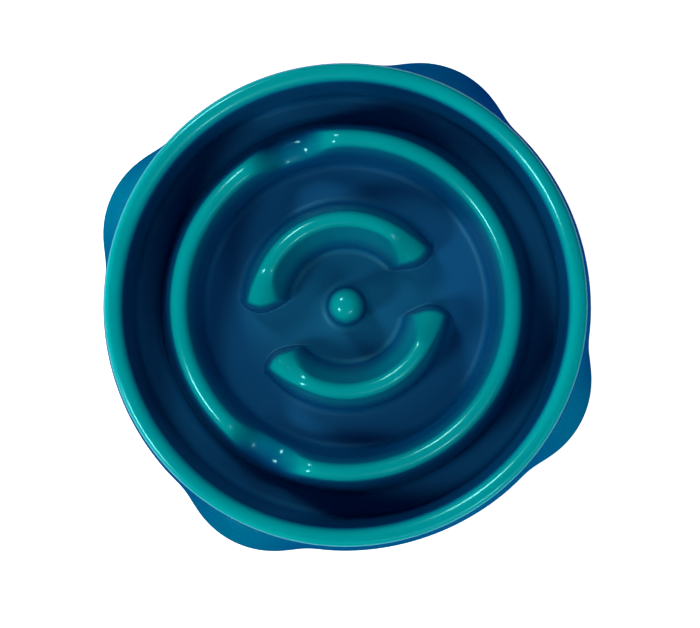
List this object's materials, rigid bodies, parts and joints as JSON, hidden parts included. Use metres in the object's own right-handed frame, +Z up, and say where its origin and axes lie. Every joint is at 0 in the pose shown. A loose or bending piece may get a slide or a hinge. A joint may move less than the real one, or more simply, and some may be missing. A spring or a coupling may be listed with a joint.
{
  "type": "slow feeder bowl",
  "caption": "Round moulded slow feeder bowl with a maze of concentric ridges, a domed centre post, a lobed skirt and rubber feet",
  "frame": {"origin": "centre of the bowl on the plane that the feet stand on", "axes": "Z up along the axis of the bowl, X to the right and Y to the back, with the lobes on the diagonals"},
  "size_m": [0.2296, 0.2296, 0.05],
  "materials": {
    "moulded_plastic": "gloss teal, as moulded",
    "foot_rubber": "matt dark grey"
  },
  "bodies": {
    "root": {"bowl_moulding": "moulded_plastic", "foot_back_right": "foot_rubber", "foot_back_left": "foot_rubber", "foot_front_left": "foot_rubber", "foot_front_right": "foot_rubber"}
  },
  "joints": []
}
